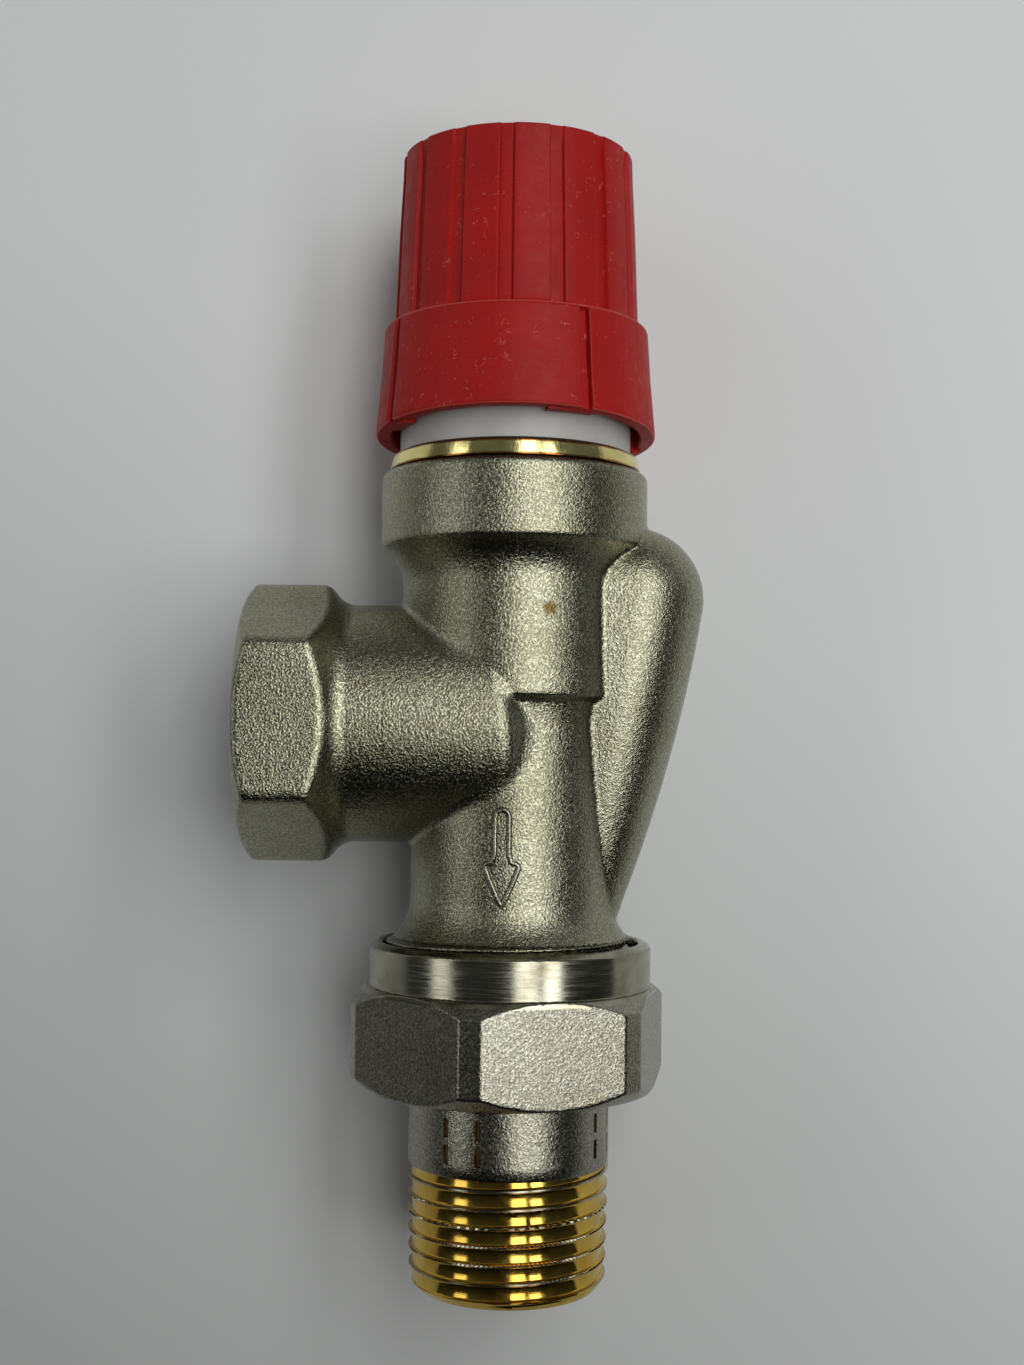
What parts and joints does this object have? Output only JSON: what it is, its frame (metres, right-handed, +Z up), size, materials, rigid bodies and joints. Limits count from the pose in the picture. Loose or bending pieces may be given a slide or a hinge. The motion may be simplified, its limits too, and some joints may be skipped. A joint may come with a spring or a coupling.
{
  "type": "radiator valve",
  "caption": "Axial angle radiator valve with a side pipe socket, a spring-loaded presettable insert, a loose union nut on a threaded tail, and a fluted hand cap.",
  "frame": {"origin": "middle of the underside of the valve's bounding box as it lies on its back", "axes": "+Y along the main axis towards the cap, -X towards the side inlet, +Z up, out of the front face"},
  "size_m": [0.0476, 0.1174, 0.033],
  "materials": {
    "nickel_plate": "forged brass, shot blasted and nickel plated, satin and slightly warm; polished on the nut's collar, bare brass on the tail's thread",
    "brass": "turned bare brass, bright",
    "steel": "plain stainless steel",
    "rubber": "black seal rubber",
    "white_plastic": "moulded off-white plastic",
    "dark_plastic": "moulded black plastic",
    "red_plastic": "moulded red plastic, slightly dusty and finely scratched"
  },
  "bodies": {
    "body": {"valve_body": "nickel_plate", "insert_housing": "brass", "insert_o_ring": "rubber", "head_collar": "white_plastic", "retaining_ring": "steel"},
    "tail": {"tailpiece": "nickel_plate", "tail_o_ring": "rubber"},
    "nut": {"union_nut": "nickel_plate"},
    "setting": {"insert_core": "brass", "core_o_ring": "rubber", "throttle_sleeve": "dark_plastic", "setting_dial": "white_plastic", "gland_nut": "brass", "gland_o_ring": "rubber", "return_spring": "steel"},
    "pin": {"pressure_pin": "steel", "spindle": "steel", "spring_plate": "steel", "cone_holder": "brass", "cone_seal": "rubber", "cone_washer": "steel"},
    "cap": {"protective_cap": "red_plastic"}
  },
  "joints": [
    {"name": "union_draw", "type": "slide", "parent": "body", "child": "tail", "axis": [0, -1, 0], "range_m": [0, 0.00817]},
    {"name": "nut_turn", "type": "hinge", "parent": "tail", "child": "nut", "pos_m": [0.00385, -0.0336, 0.01649], "axis": [0, -1, 0], "range_deg": [0, 1620]},
    {"name": "setting_turn", "type": "hinge", "parent": "body", "child": "setting", "pos_m": [0.00385, 0.0424, 0.01649], "axis": [0, 1, 0], "range_deg": [0, 270]},
    {"name": "pin_press", "type": "slide", "parent": "setting", "child": "pin", "axis": [0, -1, 0], "range_m": [0, 0.0025], "stiffness_N_per_m": 2000, "springref_m": -0.01, "deforming": ["return_spring"]},
    {"name": "cap_pull", "type": "slide", "parent": "body", "child": "cap", "axis": [0, 1, 0], "range_m": [0, 0.02]}
  ],
  "couplings": [
    {"joint": "union_draw", "follows": "nut_turn", "m_per_rad": 0.00028871}
  ]
}
